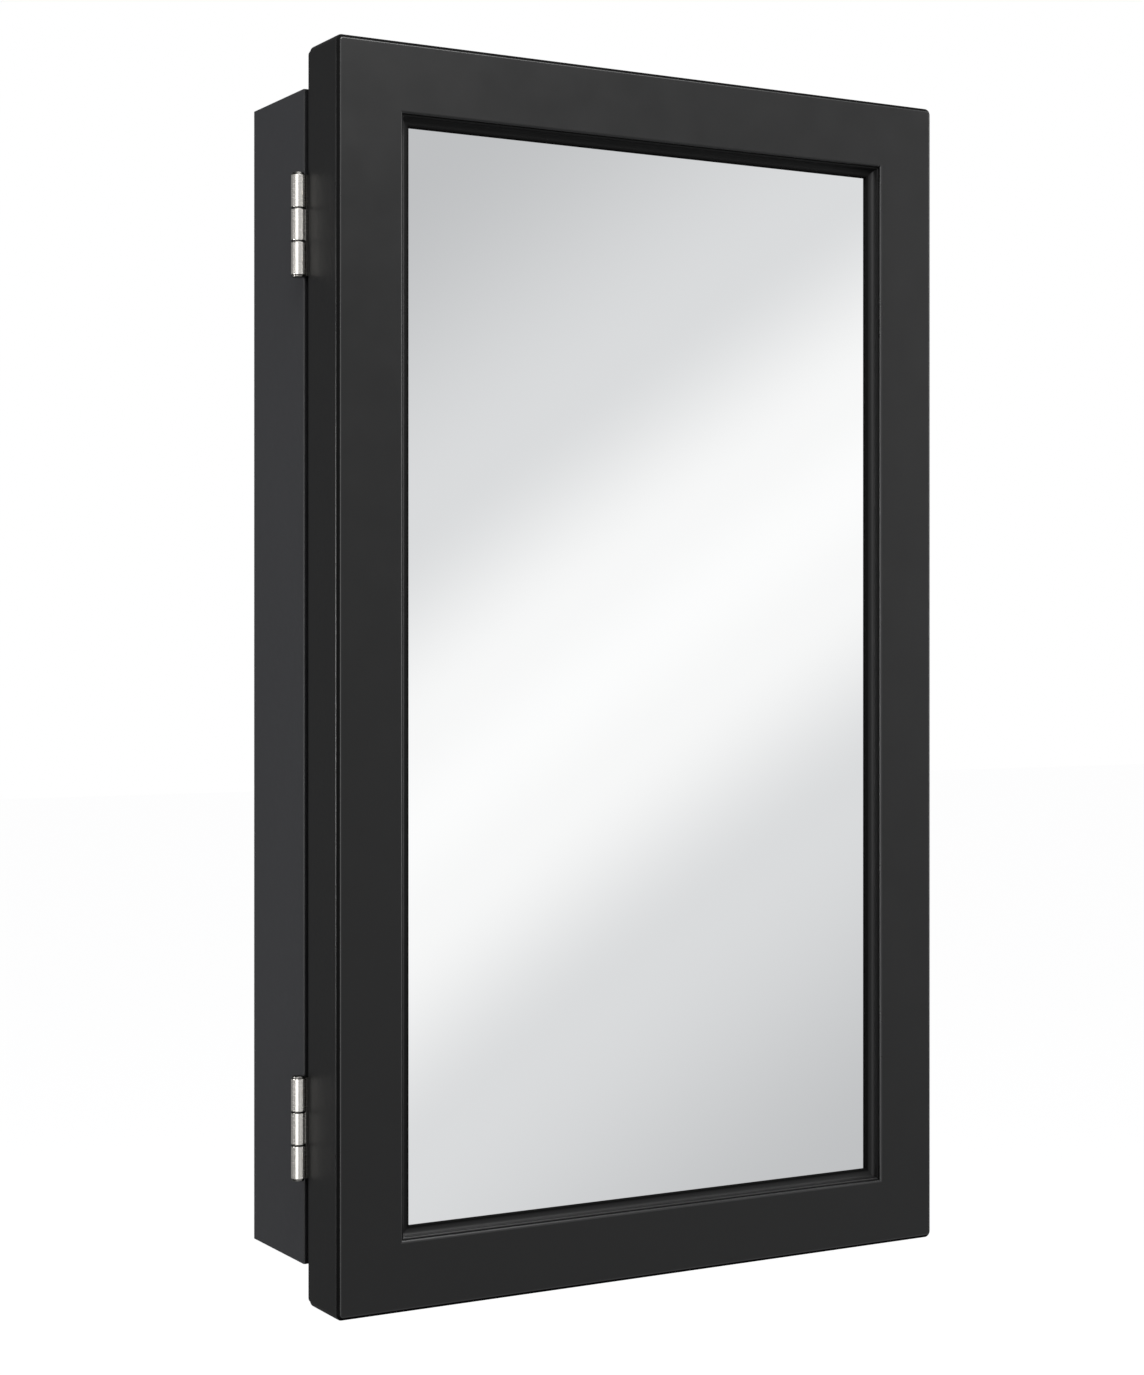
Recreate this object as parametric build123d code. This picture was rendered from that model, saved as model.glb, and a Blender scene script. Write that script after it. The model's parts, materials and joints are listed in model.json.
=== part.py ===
from build123d import *
import os

# A wall-hung medicine cabinet with one mirrored door, in millimetres.
# X runs to the right, Y towards the wall and Z up. The origin lies on the wall, midway
# between the four holes that hang the cabinet.

# Door frame
door_width = 381.0
door_height = 660.4
frame_depth = 34.5
face_width = 37.3
moulding_width = 6.0
moulding_depth = 7.0
rabbet_width = 8.0
door_corner_radius = 3.5
door_edge_chamfer = 2.0
door_rear_edge_chamfer = 0.6

# Steps of the moulding, from the flat face inwards
face_edge_round = 0.8
step_depth = 1.6
ledge_width = 1.2
ledge_edge_round = 0.4
cove_radius = 3.0
lip_edge_round = 0.5

# Splines across the four mitres
spline_length = 22.0
spline_width = 16.0
spline_thickness = 3.0
spline_clearance = 0.1

# Mirror and what holds it in the rabbet
mirror_thickness = 4.0
mirror_edge_clearance = 0.7
backing_thickness = 3.0
bead_size = 8.0
bead_flat = 1.0

# Panel that closes the door's back
door_back_thickness = 4.5
door_back_inset = 1.0
door_back_corner_radius = 3.0
door_staples_per_stile = 4
door_staples_per_rail = 3
door_staple_leg = 14.0

# Box
door_overlap_at_ends = 21.0
panel_thickness = 15.0
carcass_depth = 68.0
panel_edge_round = 0.8
back_thickness = 3.0
back_rabbet_width = 8.0
back_clearance = 0.5
tongue_thickness = 8.0
tongue_depth = 6.0
housing_clearance = 0.1

# Rails that the cabinet hangs from
rail_height = 45.0
rail_thickness = 12.0
rail_housing_depth = 4.0
wall_hole_radius = 2.75
wall_hole_spacing = 240.0

# Staples that fix the thin back and the door's back panel
staple_crown = 11.0
staple_wire_width = 1.2
staple_wire_thickness = 0.8
staple_clearance = 0.05
back_staple_leg = 12.0
staples_per_side = 4
staples_per_end = 3
staple_corner_distance = 30.0
staple_rail_distance = 15.0

# Shelves and the pins that carry them
shelf_thickness = 12.0
shelf_side_clearance = 1.0
shelf_back_clearance = 1.0
shelf_setback = 6.0
shelf_edge_round = 1.5
pin_hole_radius = 2.5
pin_hole_depth = 9.0
pin_hole_pitch = 32.0
pin_holes_per_column = 3
pin_row_from_edge = 13.0
shelf_pin_clearance = 0.08
shelf_pin_stud_length = 8.0
shelf_pin_collar_radius = 3.8
shelf_pin_collar_thickness = 1.0
shelf_pin_tab_length = 8.0
shelf_pin_tab_width = 7.0
shelf_pin_tab_thickness = 1.6
shelf_pin_tab_rise = 1.0
shelf_pin_tab_chamfer = 2.0

# Butt hinges
leaf_thickness = 1.2
leaf_gap = 0.6
leaf_width_on_panel = 13.0
leaf_corner_radius = 1.0
barrel_length = 53.0
middle_knuckle_length = 17.0
knuckle_gap = 0.4
knuckle_edge_chamfer = 0.3
barrel_side_clearance = 0.4
pin_radius = 2.35
pin_clearance = 0.05
pin_head_radius = 3.2
pin_head_height = 1.0
pin_head_chamfer = 0.5
curl_seam = 0.25
hinge_end_distance = 93.2

# Countersunk screws
hinge_screw_radius = 1.5
hinge_screw_head_radius = 2.9
hinge_screw_length = 14.0
hinge_screw_end_distance = 9.0
small_screw_radius = 1.4
small_screw_head_radius = 2.7
small_screw_head_height = 1.6
catch_screw_length = 12.0
screw_tip_length = 2.5
screw_clearance = 0.1
screw_end_clearance = 0.5
recess_span = 3.0
recess_width = 0.8
recess_depth = 0.8

# Magnetic catch and its strike plate
catch_height = 12.0
catch_length = 46.0
catch_block_length = 28.0
catch_depth = 15.0
catch_flange_thickness = 2.5
catch_setback = 1.0
catch_corner_radius = 1.5
magnet_thickness = 4.0
magnet_length = 20.0
magnet_depth = 9.0
magnet_setback = 1.2
pole_thickness = 1.2
pole_depth = 11.0
pole_gap = 0.3
pocket_clearance = 0.1
strike_width = 13.0
strike_length = 40.0
strike_thickness = 1.2
strike_corner_radius = 3.0
strike_screw_radius = 1.4
strike_screw_head_radius = 2.6
strike_screw_length = 12.0
strike_screw_edge_distance = 5.0

# Bumpers that the door closes against
bumper_radius = 4.0
bumper_clearance = 0.3
bumper_edge_chamfer = 0.8
bumper_end_distance = 48.0

# How far a cutter runs past the face that it opens
cut_margin = 1.0

# Layout that follows from the sizes
barrel_radius = pin_radius + pin_clearance + leaf_thickness
door_gap = 2 * leaf_thickness + leaf_gap
carcass_width = door_width
carcass_height = door_height - 2 * door_overlap_at_ends
carcass_front = -carcass_depth
door_back = carcass_front - door_gap
frame_back = door_back - door_back_thickness
door_front = frame_back - frame_depth
bar_width = face_width + moulding_width
solid_bar_width = bar_width - rabbet_width
mirror_front = door_front + moulding_depth
mirror_back = mirror_front + mirror_thickness
backing_back = mirror_back + backing_thickness
inner_half_width = carcass_width / 2 - panel_thickness
inner_half_height = carcass_height / 2 - panel_thickness
back_front = -back_thickness
hinge_x = -carcass_width / 2 - barrel_side_clearance - barrel_radius
hinge_y = (carcass_front + door_back) / 2
hinge_height = door_height / 2 - hinge_end_distance
leaf_screw_x = -carcass_width / 2 + leaf_width_on_panel / 2
shelf_spacing = (2 * inner_half_height + shelf_thickness) / 3
shelf_level = {"lower": -inner_half_height + shelf_spacing - shelf_thickness}
shelf_level["upper"] = shelf_level["lower"] + shelf_spacing
pin_columns = (carcass_front + pin_row_from_edge, back_front - pin_row_from_edge)
rail_level = inner_half_height - rail_height / 2
catch_face = inner_half_width
catch_x = catch_face - catch_height / 2
pole_front = carcass_front - door_gap + strike_thickness + pole_gap


def save(name, *solids):
    """Write one node, made of one solid or a group of separate ones."""
    shape = solids[0] if len(solids) == 1 else Compound(children=list(solids))
    export_step(shape, f"parts/{name}.step")


def block(x0, x1, y0, y1, z0, z1):
    """A box between two corners."""
    centre = Pos((x0 + x1) / 2, (y0 + y1) / 2, (z0 + z1) / 2)
    return centre * Box(abs(x1 - x0), abs(y1 - y0), abs(z1 - z0))


def upright_slab(outline, y_back, thickness):
    """An outline drawn in X and Z, thickened from y_back towards the front."""
    return Pos(0, y_back, 0) * extrude(Plane.XZ * outline, thickness)


def rod_along_x(radius, x0, x1, y, z):
    """A round rod or hole that runs left to right."""
    return Pos((x0 + x1) / 2, y, z) * Rot(0, 90, 0) * Cylinder(radius, abs(x1 - x0))


def rod_along_y(radius, y0, y1, x, z):
    """A round rod or hole that runs front to back."""
    return Pos(x, (y0 + y1) / 2, z) * Rot(90, 0, 0) * Cylinder(radius, abs(y1 - y0))


# Ways that a screw can point, as turns of one whose tip points down
TOWARDS_WALL = Rot(90, 0, 0)
TOWARDS_FRONT = Rot(-90, 0, 0)
TOWARDS_RIGHT = Rot(0, -90, 0)


def turned(*points):
    """A solid turned about Z from an outline of radius and height."""
    return revolve(Plane.XZ * make_face(Polyline(*points, close=True)), Axis.Z)


def screw(radius, head_radius, head_height, length):
    """A countersunk screw with its head's top at the origin and its tip pointing down."""
    body = turned((0, 0), (head_radius, 0), (radius, -head_height),
                  (radius, screw_tip_length - length), (0, -length))
    arm = Box(recess_span, recess_width, 2 * recess_depth)
    return body - arm - Rot(0, 0, 90) * arm


def screw_hole(radius, head_radius, head_height, length):
    """The countersink and bore that a screw fits in."""
    wide = radius + screw_clearance
    bottom = -length - screw_end_clearance
    return turned((0, 0), (head_radius + screw_clearance, 0), (wide, -head_height),
                  (wide, bottom), (0, bottom))


def evenly(count, reach):
    """Places spread evenly from -reach to reach."""
    if count == 1:
        return [0.0]
    return [-reach + 2 * reach * i / (count - 1) for i in range(count)]


# Door frame: four mitred bars of one moulding
def moulding_section():
    """Section of a bar: X runs from its outer edge inwards, Y from its face backwards."""
    cove_start = step_depth + ledge_edge_round
    lip_top = cove_start + cove_radius
    ledge_end = face_width + ledge_width
    face_turn = (face_width - face_edge_round, face_edge_round)
    ledge_turn = (ledge_end - ledge_edge_round, cove_start)
    lip_turn = (bar_width - lip_edge_round, lip_top + lip_edge_round)
    outline = [
        Line((0, 0), (face_turn[0], 0)),
        CenterArc(face_turn, face_edge_round, -90, 90),
        Polyline((face_width, face_edge_round), (face_width, step_depth),
                 (ledge_turn[0], step_depth)),
        CenterArc(ledge_turn, ledge_edge_round, -90, 90),
        CenterArc((ledge_end + cove_radius, cove_start), cove_radius, 180, -90),
        Line((ledge_end + cove_radius, lip_top), (lip_turn[0], lip_top)),
        CenterArc(lip_turn, lip_edge_round, -90, 90),
        Polyline((bar_width, lip_turn[1]), (bar_width, moulding_depth),
                 (solid_bar_width, moulding_depth), (solid_bar_width, frame_depth),
                 (0, frame_depth), (0, 0)),
    ]
    return make_face(Curve() + outline)


def mitred_bar(section, width, reach, outer_length):
    """A bar at -X, its outer edge reach from the middle, mitred at both ends."""
    half = outer_length / 2
    bar = Pos(-reach, 0, 0) * extrude(section, half, both=True)
    ends = make_face(Polyline((-reach, -half), (-reach + width, width - half),
                              (-reach + width, half - width), (-reach, half), close=True))
    depth = bar.bounding_box().max.Y
    return bar & upright_slab(ends, depth, depth)


# Each side of the frame as a turn about Y, with which half size it lies at
SIDES = {"left": 0, "bottom": -90, "right": 180, "top": 90}


def four_bars(section, width, inset):
    """The four mitred bars of a rectangular frame, inset from the door's outline."""
    half_width = door_width / 2 - inset
    half_height = door_height / 2 - inset
    bars = {}
    for side, turn in SIDES.items():
        upright = side in ("left", "right")
        reach = half_width if upright else half_height
        length = 2 * (half_height if upright else half_width)
        bars[side] = Rot(0, turn, 0) * mitred_bar(section, width, reach, length)
    return bars


def door_blank():
    """The frame's outer form: rounded corners and a chamfer all round, larger in front."""
    outline = RectangleRounded(door_width, door_height, door_corner_radius)
    blank = upright_slab(outline, frame_back, frame_depth)
    blank = chamfer(blank.faces().sort_by(Axis.Y)[0].edges(), door_edge_chamfer)
    return chamfer(blank.faces().sort_by(Axis.Y)[-1].edges(), door_rear_edge_chamfer)


def spline_plate(clearance):
    """One spline at the lower left mitre, or the slot that takes it."""
    thickness = spline_thickness + 2 * clearance
    plate = Box(spline_length + 2 * clearance, thickness, spline_width + 2 * clearance)
    to_corner = solid_bar_width / 2
    y = door_front + (moulding_depth + frame_depth) / 2
    place = Pos(to_corner - door_width / 2, y, to_corner - door_height / 2)
    return place * Rot(0, -45, 0) * plate


def at_four_corners(shape):
    """Copies of a shape at the lower left corner, mirrored to the other three."""
    left = [shape, mirror(shape, about=Plane.XY)]
    return left + [mirror(copy, about=Plane.YZ) for copy in left]


def staple(leg, clearance):
    """A staple with its crown along X, flush at the origin, and its legs down, or its slot."""
    half = staple_crown / 2 + clearance
    inner = half - staple_wire_thickness - 2 * clearance
    under = -staple_wire_thickness - clearance
    outline = Polyline((-half, clearance), (half, clearance), (half, -leg - clearance),
                       (inner, -leg - clearance), (inner, under), (-inner, under),
                       (-inner, -leg - clearance), (-half, -leg - clearance), close=True)
    width = staple_wire_width / 2 + clearance
    return extrude(Plane.XZ * make_face(outline), width, both=True)


def set_staples(side_places, end_places, y, leg, clearance):
    """Staples at places in X and Z, driven forwards from y, each in line with its edge."""
    piece = TOWARDS_FRONT * staple(leg, clearance)
    upright = Rot(0, 90, 0) * piece
    sides = [Pos(x, y, z) * upright for x, z in side_places]
    return sides + [Pos(x, y, z) * piece for x, z in end_places]


def door_staples(clearance):
    """The staples that hold the door's back panel to its frame, or their slots."""
    x = door_width / 2 - solid_bar_width / 2
    z = door_height / 2 - solid_bar_width / 2
    stiles = [(side * x, row) for side in (-1, 1)
              for row in evenly(door_staples_per_stile, z - staple_corner_distance)]
    rails = [(row, side * z) for side in (-1, 1)
             for row in evenly(door_staples_per_rail, x - staple_corner_distance)]
    return set_staples(stiles, rails, door_back, door_staple_leg, clearance)


# Each hinge's place, and the screws that its leaves share
HINGES = {"upper": hinge_height, "lower": -hinge_height}
hinge_screw = (hinge_screw_radius, hinge_screw_head_radius, leaf_thickness, hinge_screw_length)
strike_screw = (strike_screw_radius, strike_screw_head_radius, strike_thickness,
                strike_screw_length)
catch_screw = (small_screw_radius, small_screw_head_radius, small_screw_head_height,
               catch_screw_length)


def hinge_screw_places(hinge_z):
    """Where a leaf is screwed on, for the hinge at this height."""
    rows = evenly(2, barrel_length / 2 - hinge_screw_end_distance)
    return [(leaf_screw_x, hinge_z + row) for row in rows]


def set_screws(kind, make, places, y, facing):
    """Screws or screw holes at places in X and Z, with their heads at y."""
    return [Pos(x, y, z) * facing * make(*kind) for x, z in places]


def all_leaf_places():
    """The screw places of both hinges."""
    return [place for z in HINGES.values() for place in hinge_screw_places(z)]


door_leaf_face = door_back + leaf_thickness
cabinet_leaf_face = carcass_front - leaf_thickness
strike_face = door_back + strike_thickness
strike_places = [(catch_x, row) for row in
                 evenly(2, strike_length / 2 - strike_screw_edge_distance)]


def door_cutters():
    """Every hole that the door's frame and back panel share."""
    hinge_holes = set_screws(hinge_screw, screw_hole, all_leaf_places(), door_leaf_face,
                             TOWARDS_FRONT)
    strike_holes = set_screws(strike_screw, screw_hole, strike_places, strike_face,
                              TOWARDS_FRONT)
    return hinge_holes + strike_holes + door_staples(staple_clearance)


def make_door_frame():
    blank = door_blank()
    slots = at_four_corners(spline_plate(spline_clearance))
    names = {"left": "door_stile_left", "right": "door_stile_right",
             "top": "door_rail_top", "bottom": "door_rail_bottom"}
    cutters = door_cutters() + slots
    for side, bar in four_bars(moulding_section(), bar_width, 0).items():
        piece = (Pos(0, door_front, 0) * bar) & blank
        save(names[side], piece - cutters)
    save("mitre_splines", *at_four_corners(spline_plate(0)))


def make_mirror():
    width = door_width - 2 * (solid_bar_width + mirror_edge_clearance)
    height = door_height - 2 * (solid_bar_width + mirror_edge_clearance)
    sheet = Rectangle(width, height)
    save("mirror_glass", upright_slab(sheet, mirror_back, mirror_thickness))
    save("mirror_backing_board", upright_slab(sheet, backing_back, backing_thickness))


def bead_section():
    """A quarter-round bead that lies on the backing board against the rabbet's wall."""
    curve = bead_size - bead_flat
    return make_face(Curve() + [
        Polyline((bead_flat, bead_size), (0, bead_size), (0, 0), (bead_size, 0),
                 (bead_size, bead_flat)),
        CenterArc((bead_flat, bead_flat), curve, 0, 90),
    ])


def make_glazing_beads():
    for side, bead in four_bars(bead_section(), bead_size, solid_bar_width).items():
        save(f"glazing_bead_{side}", Pos(0, backing_back, 0) * bead)


def make_door_back():
    outline = RectangleRounded(door_width - 2 * door_back_inset,
                               door_height - 2 * door_back_inset, door_back_corner_radius)
    panel = upright_slab(outline, door_back, door_back_thickness)
    panel = chamfer(panel.faces().sort_by(Axis.Y)[-1].edges(), door_rear_edge_chamfer)
    save("door_back_panel", panel - door_cutters())
    save("door_back_staples", *door_staples(0))


# Box, with the height of each rail that it hangs from
RAILS = {"upper": rail_level, "lower": -rail_level}


def wall_hole_places():
    """The four holes that the cabinet hangs from, in X and Z."""
    return [(x, z) for x in evenly(2, wall_hole_spacing / 2) for z in RAILS.values()]


def back_staples(clearance):
    """The staples that hold the thin back in its rabbet, or their slots."""
    x = inner_half_width + back_rabbet_width / 2
    z = inner_half_height + back_rabbet_width / 2
    between_rails = inner_half_height - rail_height - staple_rail_distance
    sides = [(side * x, row) for side in (-1, 1)
             for row in evenly(staples_per_side, between_rails)]
    ends = [(row, side * z) for side in (-1, 1)
            for row in evenly(staples_per_end, inner_half_width - staple_corner_distance)]
    return set_staples(sides, ends, 0, back_staple_leg, clearance)


def back_recess():
    """The room for the thin back, rabbeted into all four panels."""
    x = inner_half_width + back_rabbet_width
    z = inner_half_height + back_rabbet_width
    return block(-x, x, -back_thickness, back_thickness, -z, z)


def end_tongues(end, clearance):
    """The tongues of the top or bottom panel, or the housings they fit in the sides."""
    reach = inner_half_width + tongue_depth + clearance
    z0 = end * (inner_half_height - clearance)
    z1 = end * (inner_half_height + tongue_thickness + clearance)
    return block(-reach, reach, carcass_front, -back_thickness, z0, z1)


def hanging_rail(level, clearance):
    """A hanging rail against the back, or the housings that its ends fit in."""
    reach = inner_half_width + rail_housing_depth + clearance
    half = rail_height / 2 + clearance
    return block(-reach, reach, back_front - rail_thickness - clearance, back_front,
                 level - half, level + half)


def shelf_pin_rows(level):
    """Heights of the pin holes of one shelf, the one in use in the middle."""
    middle = shelf_level[level] - shelf_pin_tab_rise
    return [middle + (i - pin_holes_per_column // 2) * pin_hole_pitch
            for i in range(pin_holes_per_column)]


def pin_holes(side):
    """Every shelf pin hole in one side panel."""
    x0 = side * inner_half_width
    x1 = side * (inner_half_width + pin_hole_depth)
    return [rod_along_x(pin_hole_radius, x0, x1, y, z)
            for level in shelf_level for z in shelf_pin_rows(level) for y in pin_columns]


def catch_screw_places():
    """Heights of the two screws in the catch's flange."""
    return evenly(2, (catch_length + catch_block_length) / 4)


def catch_screws(make):
    """The catch's screws or their holes."""
    x = catch_face - catch_flange_thickness
    y = carcass_front + catch_setback + catch_depth / 2
    return [Pos(x, y, z) * TOWARDS_RIGHT * make(*catch_screw) for z in catch_screw_places()]


def side_panel(side):
    """One side panel, with its rabbet, pin holes and the holes for what it carries."""
    outer = side * carcass_width / 2
    panel = block(outer, side * inner_half_width, carcass_front, 0,
                  -carcass_height / 2, carcass_height / 2)
    upright = panel.edges().filter_by(Axis.Z).group_by(Axis.X)
    panel = fillet(upright[0] if side < 0 else upright[-1], panel_edge_round)
    cutters = [back_recess()] + back_staples(staple_clearance) + pin_holes(side)
    cutters += [end_tongues(end, housing_clearance) for end in (-1, 1)]
    cutters += [hanging_rail(level, housing_clearance) for level in RAILS.values()]
    if side < 0:
        cutters += set_screws(hinge_screw, screw_hole, all_leaf_places(), cabinet_leaf_face,
                              TOWARDS_WALL)
    else:
        cutters += catch_screws(screw_hole)
    return panel - cutters


def end_panel(end):
    """The top or bottom panel, which fits between the sides."""
    panel = block(-inner_half_width, inner_half_width, carcass_front, 0,
                  end * inner_half_height, end * carcass_height / 2)
    panel += end_tongues(end, 0)
    return panel - [back_recess()] - back_staples(staple_clearance)


def make_box():
    save("side_panel_left", side_panel(-1))
    save("side_panel_right", side_panel(1))
    save("top_panel", end_panel(1))
    save("bottom_panel", end_panel(-1))
    width = 2 * (inner_half_width + back_rabbet_width - back_clearance)
    height = 2 * (inner_half_height + back_rabbet_width - back_clearance)
    hole_front = back_front - rail_thickness - cut_margin
    wall_holes = [rod_along_y(wall_hole_radius, cut_margin, hole_front, x, z)
                  for x, z in wall_hole_places()]
    back = upright_slab(Rectangle(width, height), 0, back_thickness)
    save("back_panel", back - wall_holes - back_staples(staple_clearance))
    save("back_panel_staples", *back_staples(0))
    for name, level in RAILS.items():
        save(f"hanging_rail_{name}", hanging_rail(level, 0) - wall_holes)


# Shelves
def shelf(level):
    """A shelf with a rounded front edge."""
    half = inner_half_width - shelf_side_clearance
    board = block(-half, half, carcass_front + shelf_setback, back_front - shelf_back_clearance,
                  shelf_level[level], shelf_level[level] + shelf_thickness)
    front = board.faces().sort_by(Axis.Y)[0].edges().filter_by(Axis.X)
    return fillet(front, shelf_edge_round)


def shelf_pin():
    """A spoon pin: a stud along +X from the origin and a tab that carries the shelf."""
    stud = rod_along_x(pin_hole_radius - shelf_pin_clearance, 0, shelf_pin_stud_length, 0, 0)
    collar = rod_along_x(shelf_pin_collar_radius, -shelf_pin_collar_thickness, 0, 0, 0)
    collar -= block(-shelf_pin_collar_thickness, 0, -shelf_pin_collar_radius,
                    shelf_pin_collar_radius, shelf_pin_tab_rise, shelf_pin_collar_radius)
    tab = block(-shelf_pin_tab_length, 0, -shelf_pin_tab_width / 2, shelf_pin_tab_width / 2,
                shelf_pin_tab_rise - shelf_pin_tab_thickness, shelf_pin_tab_rise)
    end = [edge for edge in tab.edges().filter_by(Axis.Z)
           if edge.center().X < -shelf_pin_tab_length / 2]
    tab = chamfer(end, shelf_pin_tab_chamfer)
    return stud + collar + tab


def make_shelves():
    pin = shelf_pin()
    for level, height in shelf_level.items():
        save(f"shelf_{level}", shelf(level))
        right = [Pos(inner_half_width, y, height - shelf_pin_tab_rise) * pin for y in pin_columns]
        left = [mirror(copy, about=Plane.YZ) for copy in right]
        save(f"shelf_pins_{level}", *right, *left)


# Butt hinges, drawn with the pin's axis at the origin and the panels towards +X
def knuckle(length, middle_z):
    """A rolled knuckle with chamfered rims."""
    roll = Pos(0, 0, middle_z) * Cylinder(barrel_radius, length)
    return chamfer(roll.edges().filter_by(GeomType.CIRCLE), knuckle_edge_chamfer)


def leaf(knuckles, other_knuckles):
    """A leaf whose sheet lies at +Y, rolled into its own knuckles around the pin."""
    near = leaf_gap / 2
    far = near + leaf_thickness
    bore_radius = pin_radius + pin_clearance
    end = barrel_side_clearance + barrel_radius + leaf_width_on_panel
    sheet = block(0, end, near, far, -barrel_length / 2, barrel_length / 2)
    inner_corners = [edge for edge in sheet.edges().filter_by(Axis.Y)
                     if edge.center().X > end / 2]
    piece = fillet(inner_corners, leaf_corner_radius)
    for length, z in knuckles:
        piece += knuckle(length, z)
    for length, z in other_knuckles:
        room = barrel_radius + barrel_side_clearance
        half = length / 2 + knuckle_gap
        piece -= block(-room, room, -room, room, z - half, z + half)
    piece -= Cylinder(bore_radius, 2 * barrel_length)
    seam = block(bore_radius / 2, 2 * barrel_radius, near - curl_seam, near,
                 -barrel_length, barrel_length)
    return piece - seam


def knuckle_layout():
    """Length and middle height of the outer and the middle knuckles."""
    outer_length = (barrel_length - middle_knuckle_length) / 2 - knuckle_gap
    outer_z = (barrel_length - outer_length) / 2
    outer = [(outer_length, outer_z), (outer_length, -outer_z)]
    return outer, [(middle_knuckle_length, 0)]


def hinge_pin():
    """The pin with a low head, chamfered round its rim, at each end."""
    half = barrel_length / 2
    top = half + pin_head_height
    head = turned((0, half), (pin_head_radius, half), (pin_head_radius, top - pin_head_chamfer),
                  (pin_head_radius - pin_head_chamfer, top), (0, top))
    return Cylinder(pin_radius, barrel_length) + head + mirror(head, about=Plane.XY)


def make_hinges():
    outer, middle = knuckle_layout()
    cabinet_leaf = leaf(outer, middle)
    door_leaf = mirror(leaf(middle, outer), about=Plane.XZ)
    pin = hinge_pin()
    for name, z in HINGES.items():
        at_hinge = Pos(hinge_x, hinge_y, z)
        places = hinge_screw_places(z)
        cabinet_holes = set_screws(hinge_screw, screw_hole, places, cabinet_leaf_face,
                                   TOWARDS_WALL)
        door_holes = set_screws(hinge_screw, screw_hole, places, door_leaf_face, TOWARDS_FRONT)
        save(f"hinge_leaf_cabinet_{name}", at_hinge * cabinet_leaf - cabinet_holes)
        save(f"hinge_leaf_door_{name}", at_hinge * door_leaf - door_holes)
        save(f"hinge_pin_{name}", at_hinge * pin)
        save(f"hinge_screws_cabinet_{name}",
             *set_screws(hinge_screw, screw, places, cabinet_leaf_face, TOWARDS_WALL))
        save(f"hinge_screws_door_{name}",
             *set_screws(hinge_screw, screw, places, door_leaf_face, TOWARDS_FRONT))


# Catch on the latch side
def pole_plates():
    """The two steel plates, one on each side of the magnet."""
    near = magnet_thickness / 2
    far = near + pole_thickness
    return [block(catch_x + side * near, catch_x + side * far, pole_front,
                  pole_front + pole_depth, -magnet_length / 2, magnet_length / 2)
            for side in (-1, 1)]


def catch_housing():
    """A flange on the side panel with a block that holds the magnet and its plates."""
    front = carcass_front + catch_setback
    back = front + catch_depth
    flange = block(catch_face - catch_flange_thickness, catch_face, front, back,
                   -catch_length / 2, catch_length / 2)
    flange = fillet(flange.edges().filter_by(Axis.X), catch_corner_radius)
    body = block(catch_face - catch_height, catch_face, front, back,
                 -catch_block_length / 2, catch_block_length / 2)
    body = fillet(body.edges().filter_by(Axis.Y).group_by(Axis.X)[0], catch_corner_radius)
    half = magnet_thickness / 2 + pole_thickness + pocket_clearance
    end = magnet_length / 2 + pocket_clearance
    pocket = block(catch_x - half, catch_x + half, front - cut_margin,
                   pole_front + pole_depth + pocket_clearance, -end, end)
    return flange + body - pocket - catch_screws(screw_hole)


def make_catch():
    save("catch_housing", catch_housing())
    half = magnet_thickness / 2
    magnet_front = pole_front + magnet_setback
    save("catch_magnet", block(catch_x - half, catch_x + half, magnet_front,
                               magnet_front + magnet_depth,
                               -magnet_length / 2, magnet_length / 2))
    save("catch_pole_plates", *pole_plates())
    save("catch_screws", *catch_screws(screw))
    outline = RectangleRounded(strike_width, strike_length, strike_corner_radius)
    strike = Pos(catch_x, 0, 0) * upright_slab(outline, strike_face, strike_thickness)
    save("strike_plate", strike - set_screws(strike_screw, screw_hole, strike_places,
                                             strike_face, TOWARDS_FRONT))
    save("strike_screws", *set_screws(strike_screw, screw, strike_places, strike_face,
                                      TOWARDS_FRONT))


def make_bumpers():
    """Soft pads on the latch-side front edge that the closed door rests near."""
    height = door_gap - bumper_clearance
    x = carcass_width / 2 - panel_thickness / 2
    z = carcass_height / 2 - bumper_end_distance
    pads = []
    for end in (-1, 1):
        pad = rod_along_y(bumper_radius, carcass_front, carcass_front - height, x, end * z)
        rim = pad.faces().sort_by(Axis.Y)[0].edges()
        pads.append(chamfer(rim, bumper_edge_chamfer))
    save("door_bumpers", *pads)


os.makedirs("parts", exist_ok=True)
make_door_frame()
make_mirror()
make_glazing_beads()
make_door_back()
make_box()
make_shelves()
make_hinges()
make_catch()
make_bumpers()
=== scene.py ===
import json
import math

import bmesh
import bpy
from mathutils import Matrix, Vector


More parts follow.
